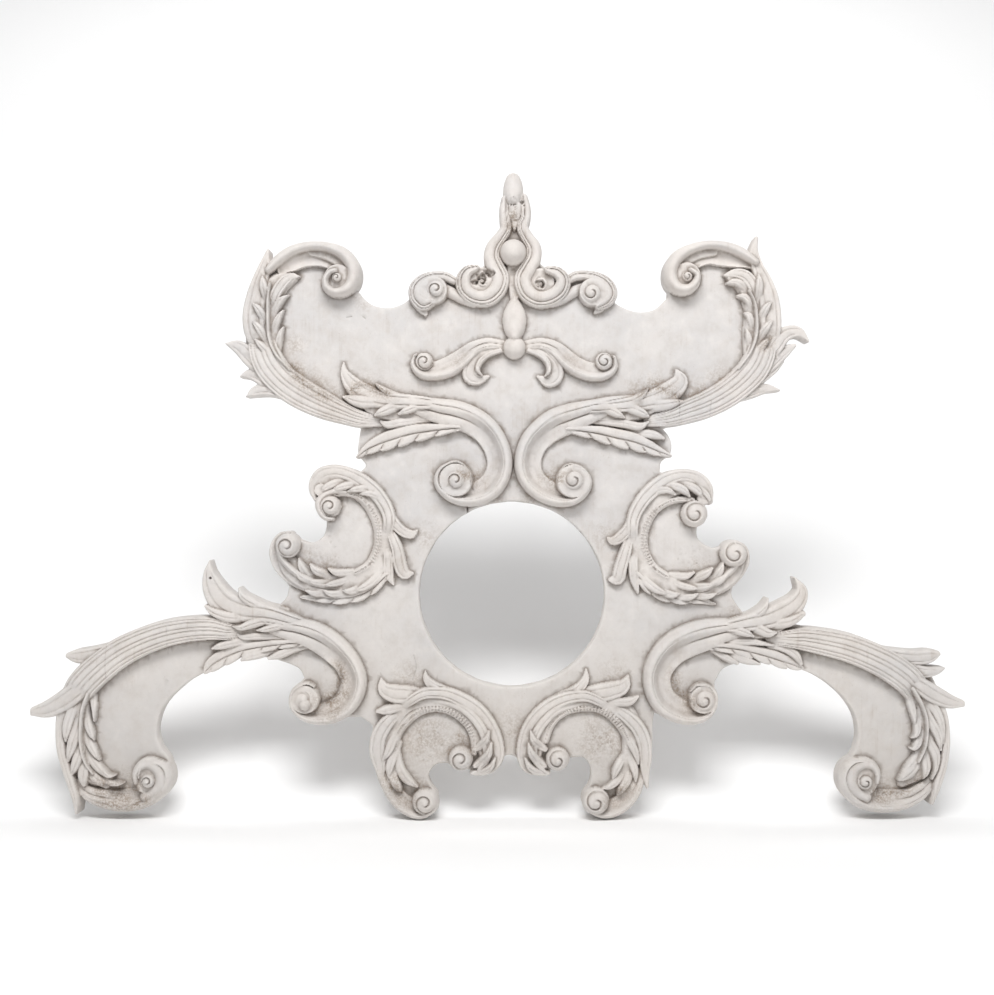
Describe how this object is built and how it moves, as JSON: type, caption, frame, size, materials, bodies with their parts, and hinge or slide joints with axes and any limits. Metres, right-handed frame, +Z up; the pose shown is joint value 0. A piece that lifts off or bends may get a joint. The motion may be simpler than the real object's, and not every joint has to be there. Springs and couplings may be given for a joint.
{
  "type": "carved headpiece panel",
  "caption": "Wide carved wooden headpiece with scrolls, acanthus leaves, a finial and a round central opening, made to be fixed by its flat back.",
  "frame": {"origin": "centre line of the flat back face, 272 mm above the centre of the round opening, where the piece is fixed to what it crowns", "axes": "+X to the viewer's right along the width, +Z up, +Y out of the flat back into the wall, so the carved face looks along -Y"},
  "size_m": [1.498, 0.072, 1.034],
  "materials": {
    "painted_wood": "matt worn off-white limed paint over wood"
  },
  "bodies": {
    "root": {"headpiece": "painted_wood"}
  },
  "joints": []
}
